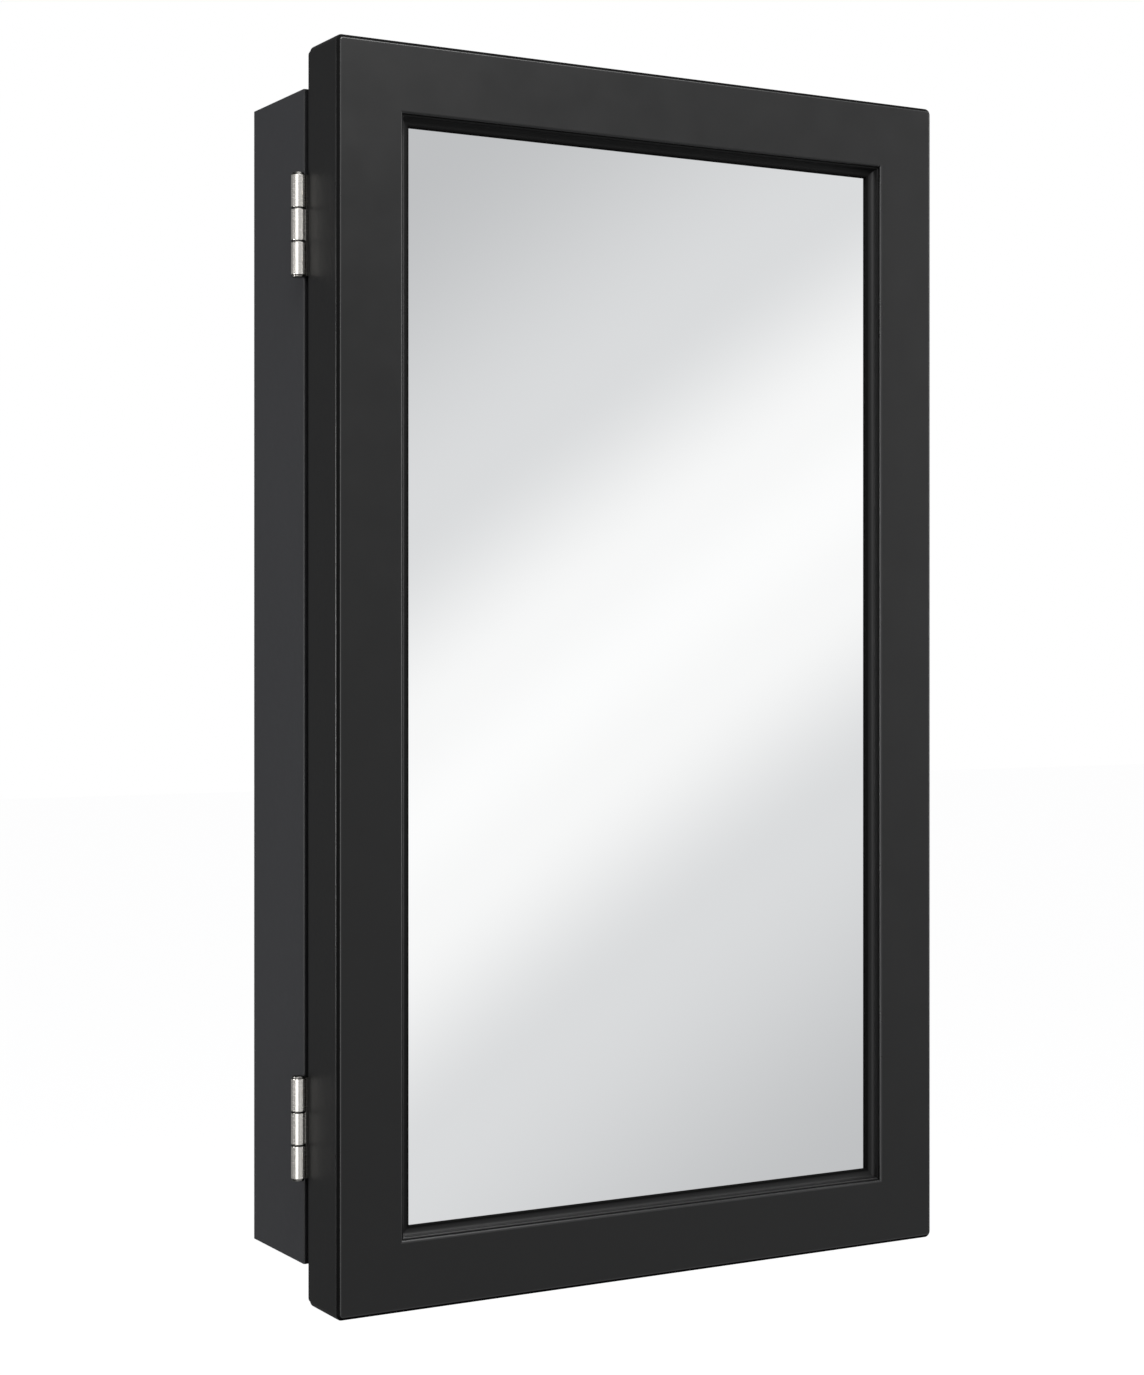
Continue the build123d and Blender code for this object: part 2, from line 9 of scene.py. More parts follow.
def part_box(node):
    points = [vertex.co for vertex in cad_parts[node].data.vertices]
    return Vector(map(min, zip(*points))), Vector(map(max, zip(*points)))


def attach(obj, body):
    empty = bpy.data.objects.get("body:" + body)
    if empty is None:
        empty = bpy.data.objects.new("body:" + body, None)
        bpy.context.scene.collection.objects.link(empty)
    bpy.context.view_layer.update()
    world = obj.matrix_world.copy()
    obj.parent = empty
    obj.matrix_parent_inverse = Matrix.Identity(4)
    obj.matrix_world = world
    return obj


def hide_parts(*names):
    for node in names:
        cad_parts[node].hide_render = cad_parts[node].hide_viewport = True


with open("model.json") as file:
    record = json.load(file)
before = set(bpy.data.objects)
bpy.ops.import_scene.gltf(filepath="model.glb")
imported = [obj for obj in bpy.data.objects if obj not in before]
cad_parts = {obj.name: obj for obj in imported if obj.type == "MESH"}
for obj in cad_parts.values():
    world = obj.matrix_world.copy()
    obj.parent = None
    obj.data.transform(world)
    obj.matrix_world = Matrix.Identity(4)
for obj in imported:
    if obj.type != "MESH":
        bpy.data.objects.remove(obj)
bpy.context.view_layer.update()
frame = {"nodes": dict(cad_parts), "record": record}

# The looks of a wall-hung medicine cabinet, in metres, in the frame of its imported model.
# X runs to the right, Y towards the wall and Z up; the mirror faces -Y.
# CAD's solids get materials. The bars of the door's frame and the hinges are built again, with
# softer arrises and rounder barrels.

MM = 0.001

# The camera that was fitted to the door's corners in the photograph
PHOTO_HEIGHT = 1375
CAMERA_FOCAL_PIXELS = 2570.0
CAMERA_HORIZON_PIXEL = 642.3
CAMERA_YAW = math.radians(29.73)
CAMERA_PLACE = (-0.7385, -1.312, 0.018)
SENSOR = 36.0

# Door frame moulding, as the solids have it
FACE_WIDTH = 37.3 * MM
STEP_DEPTH = 1.6 * MM
LEDGE_WIDTH = 1.2 * MM
COVE_RADIUS = 3.0 * MM
MOULDING_DEPTH = 7.0 * MM
BAR_WIDTH = 43.3 * MM
RABBET_WIDTH = 8.0 * MM
CORNER_RADIUS = 3.5 * MM
EDGE_CHAMFER = 2.0 * MM
REAR_CHAMFER = 0.6 * MM

# Softening that the paint leaves on the frame's arrises
OUTER_ARRIS = 0.7 * MM
FACE_ARRIS = 1.2 * MM
LEDGE_ARRIS = 0.5 * MM
LIP_ARRIS = 0.5 * MM

# A point this close beside a softened arris keeps its flat flat, unless the flat is too short
GUARD = 0.2 * MM
SHORTEST_FLAT = 3 * GUARD

# The new meshes carry an attribute that tells their material how each point takes the light,
# and a mesh without it is plain. On the frame it runs from painted shade, where a recess or the
# outer chamfer loses its sheen, to a painted highlight, where an arris has its sheen raised.
EDGE = "edge"
PAINTED_SHADE, PLAIN, ARRIS = -1.0, 0.0, 1.0
# Painted shade that is deep or light, for mouldings on bars that face away from the lights
DEEP_SHADE, LIGHT_SHADE = -0.7, -0.2
ARRIS_SPECULAR = 0.55
ARRIS_POLISH = 0.12

# On the hinges it runs from painted shade in a groove, through lighter painted shade on the sheet
# beside the barrel and on the pins, to a barrel, which is less metallic than its sheet
GROOVE, SHEET, BARREL = -1.0, 0.0, 1.0
SHADED_SHEET = -0.85
GROOVE_SHADE = 0.1
BARREL_METALLIC = 0.75

# Hinges, as the solids have them. A leaf's sheet leaves its barrel between two distances from
# the barrel's axis.
BARREL_LENGTH = 53.0 * MM
MIDDLE_KNUCKLE = 17.0 * MM
KNUCKLE_GAP = 0.4 * MM
KNUCKLE_RIM = 0.3 * MM
RIM_SHOULDER = 0.09 * MM
LEAF_NEAR = 0.3 * MM
LEAF_FAR = 1.5 * MM
PIN_RADIUS = 2.35 * MM
HEAD_RADIUS = 3.2 * MM
HEAD_HEIGHT = 1.0 * MM
HEAD_RIM = 0.4 * MM

# Where the new knuckles meet the solid's sheet, and how far from them the sheet has painted shade
SHEET_START = 0.2 * MM
SHADE_WIDTH = 1.0 * MM

# Steps in the meshes' round parts, and the angles beyond which an edge stays sharp
ARC_STEPS = 6
CORNER_STEPS = 8
ROUND_STEPS = 56
HEAD_RIM_ANGLES = (30, 60, 90)
FRAME_SHARP_ANGLE = 30
HINGE_SHARP_ANGLE = 35

FLOOR_LEVEL = -1.0
FLOOR_SIZE = 30.0
FLOOR_COLOUR = (0.5, 0.5, 0.5, 1.0)
FLOOR_GLOW = (0.86, 0.86, 0.86, 1.0)

# The room that glossy surfaces see: a soft band of light across greyer walls in front, with
# fainter ones beside it, and dark behind the cabinet and far to its left
BAND_AXIS = (-0.638, -0.089, 0.764)
BAND_CENTRE = -0.257
BAND_REACH = 0.8
BAND_STOPS = [
    (0.0, (1.03, 1.03, 1.03)), (0.035, (0.99, 0.99, 0.99)), (0.1125, (0.74, 0.747, 0.757)),
    (0.25, (0.55, 0.557, 0.568)), (0.33, (0.58, 0.587, 0.598)), (0.45, (0.80, 0.807, 0.818)),
    (0.62, (0.55, 0.557, 0.568)), (1.0, (0.5, 0.505, 0.515)),
]
BEHIND = (-0.05, 0.3)
FAR_LEFT = (-0.75, -0.9)
DARK_SHARE = 0.25

# The bright panel at the front left, level with the cabinet, that the arrises and barrels show.
# It fades out between two distances from its middle, across and up.
PANEL_HEADING = (-0.695, -0.719, 0.0)
PANEL_ACROSS = (0.719, -0.695, 0.0)
PANEL_WIDTH = (0.33, 0.4)
PANEL_HEIGHT = (0.21, 0.27)
PANEL_GLOW = 2.64

# What matt surfaces and the camera see
AMBIENT = (0.25, 0.25, 0.255)
WHITE = (1.0, 1.0, 1.0)


# Node helpers
def add_node(tree, kind, inputs=None, **settings):
    """A node with its settings, and its inputs set to values or linked to sockets."""
    made = tree.nodes.new(kind)
    for name, value in settings.items():
        setattr(made, name, value)
    for name, value in (inputs or {}).items():
        if isinstance(value, bpy.types.NodeSocket):
            tree.links.new(value, made.inputs[name])
        else:
            made.inputs[name].default_value = value
    return made


def calculate(tree, operation, *values, clamp=False):
    """The result of a sum or comparison."""
    return add_node(tree, "ShaderNodeMath", dict(enumerate(values)), operation=operation,
                    use_clamp=clamp).outputs[0]


def dot(tree, first, second):
    """How far one direction reaches along another."""
    return add_node(tree, "ShaderNodeVectorMath", {0: first, 1: second},
                    operation="DOT_PRODUCT").outputs["Value"]


def remap(tree, value, before, after, fade="LINEAR"):
    """A value turned from one range into another, and held at its ends."""
    inputs = {"Value": value, "From Min": before[0], "From Max": before[1],
              "To Min": after[0], "To Max": after[1]}
    return add_node(tree, "ShaderNodeMapRange", inputs, interpolation_type=fade).outputs["Result"]


def scaled(tree, colour, factor):
    """A colour times a value."""
    return add_node(tree, "ShaderNodeVectorMath", {0: colour, "Scale": factor},
                    operation="SCALE").outputs["Vector"]


def mixed(tree, factor, first, second):
    """The first colour where the factor is nothing and the second where it is one."""
    return add_node(tree, "ShaderNodeMix", {"Factor": factor, "A": first, "B": second},
                    data_type="VECTOR").outputs["Result"]


def ramp(tree, value, stops):
    """A soft colour ramp over a value, from (position, colour) stops."""
    made = add_node(tree, "ShaderNodeValToRGB", {"Fac": value})
    made.color_ramp.interpolation = "EASE"
    elements = made.color_ramp.elements
    while len(elements) < len(stops):
        elements.new(0.5)
    for element, (position, colour) in zip(elements, stops):
        element.position = position
        element.color = (*colour, 1.0)
    return made.outputs["Color"]


def stretched(tree, place, scale):
    """The coordinates scaled along each axis, for grain and brushing."""
    return add_node(tree, "ShaderNodeMapping", {"Vector": place, "Scale": scale}).outputs["Vector"]


def noise(tree, place, scale, detail=2.0, roughness=0.5):
    """Noise whose features are about one over scale metres across."""
    return add_node(tree, "ShaderNodeTexNoise",
                    {"Vector": place, "Scale": scale, "Detail": detail,
                     "Roughness": roughness}).outputs["Fac"]


def spread(tree, value, low, high):
    """Noise, which stays near its middle, spread over a range."""
    return remap(tree, value, (0.3, 0.7), (low, high))


def tint(tree, colour, value, low, high):
    """A colour made darker and lighter by noise."""
    return scaled(tree, colour, spread(tree, value, low, high))


def facing(tree, axis):
    """One where the surface's own normal leans along an axis."""
    normal = add_node(tree, "ShaderNodeTexCoord").outputs["Normal"]
    return calculate(tree, "GREATER_THAN", dot(tree, normal, axis), 0.5)


def edge_range(tree, before, after):
    """The mesh's edge attribute turned from one range into another."""
    edge = add_node(tree, "ShaderNodeAttribute", attribute_name=EDGE).outputs["Fac"]
    return remap(tree, edge, before, after)


# Materials
def new_material(name, roughness, metallic=0.0, specular=0.5):
    """A material with its node tree, its shader and the object's own coordinates."""
    made = bpy.data.materials.new(name)
    made.use_nodes = True
    tree = made.node_tree
    shader = tree.nodes["Principled BSDF"]
    shader.inputs["Roughness"].default_value = roughness
    shader.inputs["Metallic"].default_value = metallic
    shader.inputs["Specular IOR Level"].default_value = specular
    place = add_node(tree, "ShaderNodeTexCoord").outputs["Object"]
    return made, tree, shader, place


def feed(tree, shader, **sockets):
    """Links values to the shader's inputs, named in small letters with underscores."""
    for name, value in sockets.items():
        tree.links.new(value, shader.inputs[name.replace("_", " ").title()])


def bump(tree, shader, height, strength, depth):
    """Relief on a shader, with its depth in metres."""
    made = add_node(tree, "ShaderNodeBump",
                    {"Height": height, "Strength": strength, "Distance": depth})
    feed(tree, shader, normal=made.outputs["Normal"])


def paint(name, colour, roughness, specular):
    """Sprayed satin paint: a faint orange peel, with soft changes in tone and sheen."""
    made, tree, shader, place = new_material(name, roughness, specular=specular)
    clouds = noise(tree, place, scale=9.0, detail=3.0)
    smears = noise(tree, place, scale=60.0, detail=3.0)
    peel = noise(tree, place, scale=700.0)
    toned = tint(tree, colour, clouds, 0.96, 1.04)
    rough = spread(tree, smears, roughness - 0.03, roughness + 0.03)
    feed(tree, shader, base_color=toned, roughness=rough)
    bump(tree, shader, peel, strength=0.12, depth=0.05 * MM)
    return made, tree, shader, toned, rough


def frame_paint():
    """The door's paint, with a painted highlight where the arrises' sheen is raised, and painted
    shade where the sheen of the recesses and the chamfer is taken away.
    """
    specular = 0.3
    made, tree, shader, _, rough = paint("frame_paint", (0.007, 0.007, 0.007), 0.42, specular)
    polish = edge_range(tree, (PLAIN, ARRIS), (0.0, ARRIS_POLISH))
    feed(tree, shader, roughness=calculate(tree, "SUBTRACT", rough, polish))
    painted_sheen = calculate(tree, "ADD", edge_range(tree, (PAINTED_SHADE, PLAIN), (0.0, specular)),
                      edge_range(tree, (PLAIN, ARRIS), (0.0, ARRIS_SPECULAR - specular)))
    tree.links.new(painted_sheen, shader.inputs["Specular IOR Level"])
    return made


def box_paint():
    """The box's paint, with painted shade on the front edges that face the door, dark as the gap
    behind the door.
    """
    gap_shade_tone = 0.25
    made, tree, shader, toned, _ = paint("box_paint", (0.028, 0.0285, 0.031), 0.45, 0.3)
    shade = remap(tree, facing(tree, (0.0, -1.0, 0.0)), (0.0, 1.0), (1.0, gap_shade_tone))
    feed(tree, shader, base_color=scaled(tree, toned, shade))
    return made


def plated(name, colour, roughness, scale):
    """Satin plated metal, brushed in fine lines across its longest side."""
    made, tree, shader, place = new_material(name, roughness, metallic=1.0)
    lines = noise(tree, stretched(tree, place, scale), scale=1.0, detail=3.0, roughness=0.6)
    toned = tint(tree, colour, lines, 0.93, 1.05)
    feed(tree, shader, base_color=toned,
         roughness=spread(tree, lines, roughness - 0.05, roughness + 0.07))
    bump(tree, shader, lines, strength=0.03, depth=0.01 * MM)
    return made, tree, shader, toned


def hinge_nickel():
    """Satin nickel, less metallic on the barrels, with painted shade in their grooves, on the
    sheet beside them and on the pins.
    """
    made, tree, shader, toned = plated("satin_nickel", (0.66, 0.635, 0.595), 0.22,
                                       (300.0, 300.0, 9000.0))
    painted_shade_factor = edge_range(tree, (GROOVE, SHEET), (GROOVE_SHADE, 1.0))
    feed(tree, shader, base_color=scaled(tree, toned, painted_shade_factor),
         metallic=edge_range(tree, (SHEET, BARREL), (1.0, BARREL_METALLIC)))
    return made


def zinc():
    """Zinc plate with a fine even grain."""
    return plated("zinc", (0.55, 0.56, 0.57), 0.33, (2500.0, 2500.0, 2500.0))[0]


def silvered_glass():
    """A clean mirror with hardly any haze."""
    made, tree, shader, place = new_material("silvered_glass", 0.01, metallic=1.0)
    haze = noise(tree, place, scale=12.0, detail=4.0)
    feed(tree, shader, base_color=tint(tree, (0.945, 0.95, 0.95), haze, 0.998, 1.0),
         roughness=spread(tree, haze, 0.0, 0.014))
    return made


def raw_fibreboard():
    """Bare fibreboard, fine fibres pressed flat."""
    made, tree, shader, place = new_material("raw_fibreboard", 0.8, specular=0.25)
    fibres = noise(tree, place, scale=900.0, detail=5.0, roughness=0.7)
    feed(tree, shader, base_color=tint(tree, (0.36, 0.25, 0.15), fibres, 0.8, 1.15))
    bump(tree, shader, fibres, strength=0.4, depth=0.1 * MM)
    return made


def faced_hardboard():
    """Thin board with a painted face towards the door and bare fibres towards the wall."""
    made, tree, shader, place = new_material("faced_hardboard", 0.6, specular=0.3)
    clouds = noise(tree, place, scale=9.0)
    fibres = noise(tree, place, scale=800.0, detail=5.0, roughness=0.7)
    face = tint(tree, (0.036, 0.037, 0.039), clouds, 0.95, 1.05)
    back = tint(tree, (0.23, 0.13, 0.065), fibres, 0.8, 1.15)
    feed(tree, shader, base_color=mixed(tree, facing(tree, (0.0, 1.0, 0.0)), face, back))
    bump(tree, shader, fibres, strength=0.25, depth=0.08 * MM)
    return made


def beech():
    """Plain beech with short dark flecks along its grain."""
    made, tree, shader, place = new_material("beech", 0.6, specular=0.3)
    along = stretched(tree, place, (60.0, 900.0, 60.0))
    grain = noise(tree, along, scale=1.0, detail=4.0, roughness=0.6)
    feed(tree, shader, base_color=tint(tree, (0.5, 0.33, 0.19), grain, 0.75, 1.15))
    bump(tree, shader, grain, strength=0.2, depth=0.05 * MM)
    return made


def plain_grain(name, colour, roughness, scale, depth, specular=0.5, metallic=0.0):
    """A moulded or pressed material with a fine even grain."""
    made, tree, shader, place = new_material(name, roughness, metallic, specular)
    grain = noise(tree, place, scale, detail=3.0)
    feed(tree, shader, base_color=tint(tree, colour, grain, 0.88, 1.1),
         roughness=spread(tree, grain, roughness - 0.05, roughness + 0.05))
    bump(tree, shader, grain, strength=0.3, depth=depth)
    return made


# What each slot of the record wears
SLOT_MATERIALS = {
    "satin_black_paint": frame_paint(),
    "carcass_paint": box_paint(),
    "mirror": silvered_glass(),
    "satin_nickel": hinge_nickel(),
    "zinc_screw": zinc(),
    "back_board": faced_hardboard(),
    "raw_fibreboard": raw_fibreboard(),
    "beech": beech(),
    "black_plastic": plain_grain("black_plastic", (0.018, 0.018, 0.019), 0.48, scale=1500.0,
                                 depth=0.04 * MM),
    "ferrite": plain_grain("ferrite", (0.045, 0.045, 0.048), 0.5, scale=2500.0, depth=0.03 * MM,
                           metallic=0.3),
    "bumper_rubber": plain_grain("bumper_rubber", (0.35, 0.35, 0.34), 0.6, scale=1200.0,
                                 depth=0.03 * MM, specular=0.4),
}
node_slots = {row["node"]: row["material_slot"] for row in frame["record"]["subparts"]}


def dress_nodes():
    """The slot's material on every solid."""
    for name, thing in frame["nodes"].items():
        thing.data.materials.clear()
        thing.data.materials.append(SLOT_MATERIALS[node_slots[name]])


# Meshes
def make_piece(name, body, node, points, faces, edge, sharp_angle):
    """A smooth mesh in the frame's own coordinates that stands for one solid."""
    mesh = bpy.data.meshes.new(name)
    mesh.from_pydata([tuple(point) for point in points], [], faces)
    mesh.validate()
    mesh.materials.append(SLOT_MATERIALS[node_slots[node]])
    mesh.attributes.new(EDGE, "FLOAT", "POINT").data.foreach_set("value", edge)
    mesh.shade_smooth()
    mesh.set_sharp_from_angle(angle=math.radians(sharp_angle))
    thing = bpy.data.objects.new(name, mesh)
    bpy.context.scene.collection.objects.link(thing)
    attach(thing, body)
    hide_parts(node)
    return thing


def loft(rings):
    """Points and faces of a solid through rings of equally many points, closed at both ends."""
    count = len(rings[0])
    points = [point for ring in rings for point in ring]
    faces = []
    for first in range(0, len(points) - count, count):
        second = first + count
        for i in range(count):
            after = (i + 1) % count
            faces.append((first + i, first + after, second + after, second + i))
    faces += [tuple(range(count))[::-1], tuple(range(len(points) - count, len(points)))]
    return points, faces


def arc(centre, radius, start, turn, steps=ARC_STEPS):
    """Points on an arc, its angles in degrees."""
    angles = [math.radians(start + turn * i / steps) for i in range(steps + 1)]
    return [(centre[0] + radius * math.cos(a), centre[1] + radius * math.sin(a)) for a in angles]


def softened(before, corner, after, radius):
    """A corner of an outline rounded to a radius, between its neighbours."""
    at, a, b = Vector(corner), Vector(before), Vector(after)
    to_a, to_b = (a - at).normalized(), (b - at).normalized()
    half = to_a.angle(to_b) / 2
    reach = radius / math.tan(half)
    centre = at + (to_a + to_b).normalized() * (radius / math.sin(half))
    start, end = at + to_a * reach - centre, at + to_b * reach - centre
    turn = start.angle_signed(end)
    first = math.atan2(start.y, start.x)
    angles = [first - turn * i / ARC_STEPS for i in range(ARC_STEPS + 1)]
    return [(centre.x + radius * math.cos(t), centre.y + radius * math.sin(t)) for t in angles]


# The door's frame
def guarded(outline):
    """The outline with a point close beside each softened arris, which keeps the flats flat."""
    points = []
    for start, end in zip(outline, outline[1:] + outline[:1]):
        points.append(start)
        length = math.dist(start[:2], end[:2])
        if length <= SHORTEST_FLAT:
            continue
        # The flat of the outer chamfer, between two arrises, gets painted shade; guard points
        # beside other arrises stay plain.
        chamfer = start[2] == end[2] == ARRIS and length < 2 * EDGE_CHAMFER
        for edge, share in ((start[2], GUARD / length), (end[2], 1 - GUARD / length)):
            if edge >= PLAIN:
                points.append((start[0] + share * (end[0] - start[0]),
                               start[1] + share * (end[1] - start[1]),
                               PAINTED_SHADE if chamfer else PLAIN))
    return points


def bar_section(depth, face_edge, ledge_edge, cove_edge):
    """The frame bar's section, from its outer edge inwards and its face backwards.

    Each point is (inset, depth, edge). The edge values of the face's inner arris, of the ledge's
    arris and of the cove are given, and set their painted highlight or painted shade. The step and
    the lip always get painted shade.
    """
    solid_width = BAR_WIDTH - RABBET_WIDTH
    ledge_end = FACE_WIDTH + LEDGE_WIDTH
    cove_start = STEP_DEPTH + LEDGE_ARRIS
    lip_top = cove_start + COVE_RADIUS
    rear = (0, depth - REAR_CHAMFER)
    side_corner = (0, EDGE_CHAMFER)
    face_corner = (EDGE_CHAMFER, 0)
    runs = [
        (PLAIN, [rear]),
        (ARRIS, softened(rear, side_corner, face_corner, OUTER_ARRIS)),
        (ARRIS, softened(side_corner, face_corner, (FACE_WIDTH, 0), OUTER_ARRIS)),
        (face_edge, arc((FACE_WIDTH - FACE_ARRIS, FACE_ARRIS), FACE_ARRIS, -90, 90)),
        (PAINTED_SHADE, [(FACE_WIDTH, STEP_DEPTH)]),
        (ledge_edge, arc((ledge_end - LEDGE_ARRIS, cove_start), LEDGE_ARRIS, -90, 90)),
        (cove_edge, arc((ledge_end + COVE_RADIUS, cove_start), COVE_RADIUS, 180, -90)[1:]),
        (PAINTED_SHADE, arc((BAR_WIDTH - LIP_ARRIS, lip_top + LIP_ARRIS), LIP_ARRIS, -90, 90)),
        (PAINTED_SHADE, [(BAR_WIDTH, MOULDING_DEPTH), (solid_width, MOULDING_DEPTH)]),
        (PLAIN, [(solid_width, depth), (REAR_CHAMFER, depth)]),
    ]
    return guarded([(x, y, edge) for edge, run in runs for x, y in run])


def bar_rings(section, half_length):
    """The section at each station along a bar, which turns half of each outer corner.

    Each point is (inset, along, depth), with along measured from the bar's middle. The last
    station before the straight lies close beside the corner and keeps the bar's faces flat.
    """
    rings = []
    for step in range(CORNER_STEPS + 2):
        share = min(step / CORNER_STEPS, 1)
        guard = GUARD if step > CORNER_STEPS else 0
        angle = math.radians(45 * (1 - share))
        ring = []
        for inset, depth, _ in section:
            if inset < CORNER_RADIUS:
                radius = CORNER_RADIUS - inset
                x = CORNER_RADIUS - radius * math.cos(angle)
                along = CORNER_RADIUS - radius * math.sin(angle)
            else:
                x = inset
                along = inset + share * CORNER_RADIUS
            ring.append((x, half_length - along - guard, depth))
        rings.append(ring)
    return rings + [[(x, -along, depth) for x, along, depth in ring] for ring in rings[::-1]]


def make_frame_bars():
    """The four mitred bars of the door's frame, each the left bar's shape turned about Y."""
    low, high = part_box("door_stile_left")
    half_width = -low.x
    half_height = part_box("door_rail_top")[1].z
    stile, rail = (half_width, half_height), (half_height, half_width)
    # The bottom and right bars get painted highlights on their inner arrises, where the lights
    # fall; the left and top bars, which face away from the lights, get no painted highlight and
    # deeper painted shade in their mouldings.
    bars = {
        "left": ("door_stile_left", 0, stile, (PLAIN, DEEP_SHADE, DEEP_SHADE)),
        "bottom": ("door_rail_bottom", -90, rail, (ARRIS, ARRIS, LIGHT_SHADE)),
        "right": ("door_stile_right", 180, stile, (ARRIS, DEEP_SHADE, LIGHT_SHADE)),
        "top": ("door_rail_top", 90, rail, (PLAIN, DEEP_SHADE, DEEP_SHADE)),
    }
    for side, (node, turn, (outside, half_length), inner_edges) in bars.items():
        section = bar_section(high.y - low.y, *inner_edges)
        swing = Matrix.Rotation(math.radians(turn), 3, "Y")
        rings = [[swing @ Vector((x - outside, low.y + y, along)) for x, along, y in ring]
                 for ring in bar_rings(section, half_length)]
        edge = [row[2] for row in section] * len(rings)
        bar = make_piece(f"frame_bar_{side}", "door", node, *loft(rings), edge,
                         FRAME_SHARP_ANGLE)
        # The barrels beside the left bar show the room, and not the bar's dark side
        bar.visible_glossy = side != "left"


# Hinges
def around(radius, start=0.0, turn=360.0):
    """Points round a circle, or part of it, its angles in degrees."""
    return arc((0.0, 0.0), radius, start, turn, ROUND_STEPS)


def knuckle(radius, length, middle, reach):
    """A rolled knuckle round the axis, with soft rims and the leaf's sheet leaving it at +X."""
    half = length / 2
    # The rims get the grooves' painted shade, and the sheet leaving the knuckle gets the sheet's
    # painted shade.
    rim = [(KNUCKLE_RIM, half, GROOVE), (RIM_SHOULDER, half - RIM_SHOULDER, GROOVE),
           (0, half - KNUCKLE_RIM, GROOVE), (0, half - 2 * KNUCKLE_RIM, BARREL)]
    rings, edge = [], []
    for inset, height, tone in [(inset, -height, tone) for inset, height, tone in rim] + rim[::-1]:
        r = radius - inset
        start, end = (math.degrees(math.asin(side / r)) for side in (LEAF_FAR, LEAF_NEAR))
        roll = around(r, start, 360 + end - start)
        outline = roll + [(reach, LEAF_NEAR), (reach, LEAF_FAR)]
        rings.append([(x, y, middle + height) for x, y in outline])
        edge += [tone] * len(roll) + [SHADED_SHEET] * 2
    return *loft(rings), edge


def pin_rings():
    """The hinge pin's rings, from one head's soft rim to the other's."""
    half = BARREL_LENGTH / 2
    profile = [(PIN_RADIUS, 0), (PIN_RADIUS, half), (HEAD_RADIUS, half),
               (HEAD_RADIUS, half + HEAD_HEIGHT - HEAD_RIM)]
    profile += [(HEAD_RADIUS - HEAD_RIM * (1 - math.cos(a)),
                 half + HEAD_HEIGHT - HEAD_RIM * (1 - math.sin(a)))
                for a in map(math.radians, HEAD_RIM_ANGLES)]
    whole = [(radius, -height) for radius, height in profile[:0:-1]] + profile
    return [[(x, y, height) for x, y in around(radius)[:-1]] for radius, height in whole]


def cut_sheet(node, plane_x):
    """The solid's mesh beyond a plane across X, in the frame's own coordinates."""
    solid = frame["nodes"][node]
    cut = bmesh.new()
    cut.from_mesh(solid.data)
    cut.transform(solid.matrix_world)
    bmesh.ops.bisect_plane(cut, geom=cut.verts[:] + cut.edges[:] + cut.faces[:],
                           plane_co=(plane_x, 0, 0), plane_no=(1, 0, 0), clear_inner=True)
    cut.verts.index_update()
    points = [tuple(vert.co) for vert in cut.verts]
    faces = [tuple(vert.index for vert in face.verts) for face in cut.faces]
    cut.free()
    return points, faces


def make_leaf(name, body, node, axis, turn, knuckles):
    """A hinge leaf: the solid's sheet, and round knuckles turned to one side of it or the other.

    Each knuckle is (length, middle), with its middle measured from the barrel's.
    """
    radius = axis.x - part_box(node)[0].x
    reach = radius + SHEET_START
    points, faces = cut_sheet(node, axis.x + reach)
    # The sheet close beside the barrel gets painted shade.
    shaded = axis.x + reach + SHADE_WIDTH
    edge = [SHADED_SHEET if point[0] < shaded else SHEET for point in points]
    for length, middle in knuckles:
        start = len(points)
        roll, sides, tones = knuckle(radius, length, middle, reach)
        points += [(axis.x + x, axis.y + turn * y, axis.z + z) for x, y, z in roll]
        faces += [tuple(start + i for i in side[::turn]) for side in sides]
        edge += tones
    make_piece(name, body, node, points, faces, edge, HINGE_SHARP_ANGLE)


def make_hinges():
    """The hinges' leaves and pins, with round barrels."""
    outer_length = (BARREL_LENGTH - MIDDLE_KNUCKLE) / 2 - KNUCKLE_GAP
    outer_middle = (BARREL_LENGTH - outer_length) / 2
    leaves = {"cabinet": (1, [(outer_length, outer_middle), (outer_length, -outer_middle)]),
              "door": (-1, [(MIDDLE_KNUCKLE, 0)])}
    for level in ("upper", "lower"):
        pin_node = f"hinge_pin_{level}"
        low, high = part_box(pin_node)
        axis = (low + high) / 2
        for body, (turn, knuckles) in leaves.items():
            make_leaf(f"hinge_{body}_side_{level}", body, f"hinge_leaf_{body}_{level}", axis,
                      turn, knuckles)
        points, faces = loft([[(axis.x + x, axis.y + y, axis.z + z) for x, y, z in ring]
                              for ring in pin_rings()])
        # The pin gets the sheet's painted shade all over.
        make_piece(f"hinge_rod_{level}", "cabinet", pin_node, points, faces,
                   [SHADED_SHEET] * len(points), HINGE_SHARP_ANGLE)


# Studio
def make_camera():
    """The camera where the photograph was taken from."""
    data = bpy.data.cameras.new("photo_camera")
    data.sensor_width = SENSOR
    data.lens = SENSOR * CAMERA_FOCAL_PIXELS / PHOTO_HEIGHT
    data.shift_y = (CAMERA_HORIZON_PIXEL - PHOTO_HEIGHT / 2) / PHOTO_HEIGHT
    camera = bpy.data.objects.new("photo_camera", data)
    camera.location = CAMERA_PLACE
    camera.rotation_euler = (math.radians(90), 0, -CAMERA_YAW)
    bpy.context.scene.collection.objects.link(camera)
    bpy.context.scene.camera = camera


def ray_kinds(tree):
    """One for a camera ray, and one for a camera, glossy or transmission ray."""
    path = add_node(tree, "ShaderNodeLightPath").outputs
    seen = calculate(tree, "ADD", path["Is Camera Ray"], path["Is Glossy Ray"])
    return path["Is Camera Ray"], calculate(tree, "ADD", seen, path["Is Transmission Ray"],
                                            clamp=True)


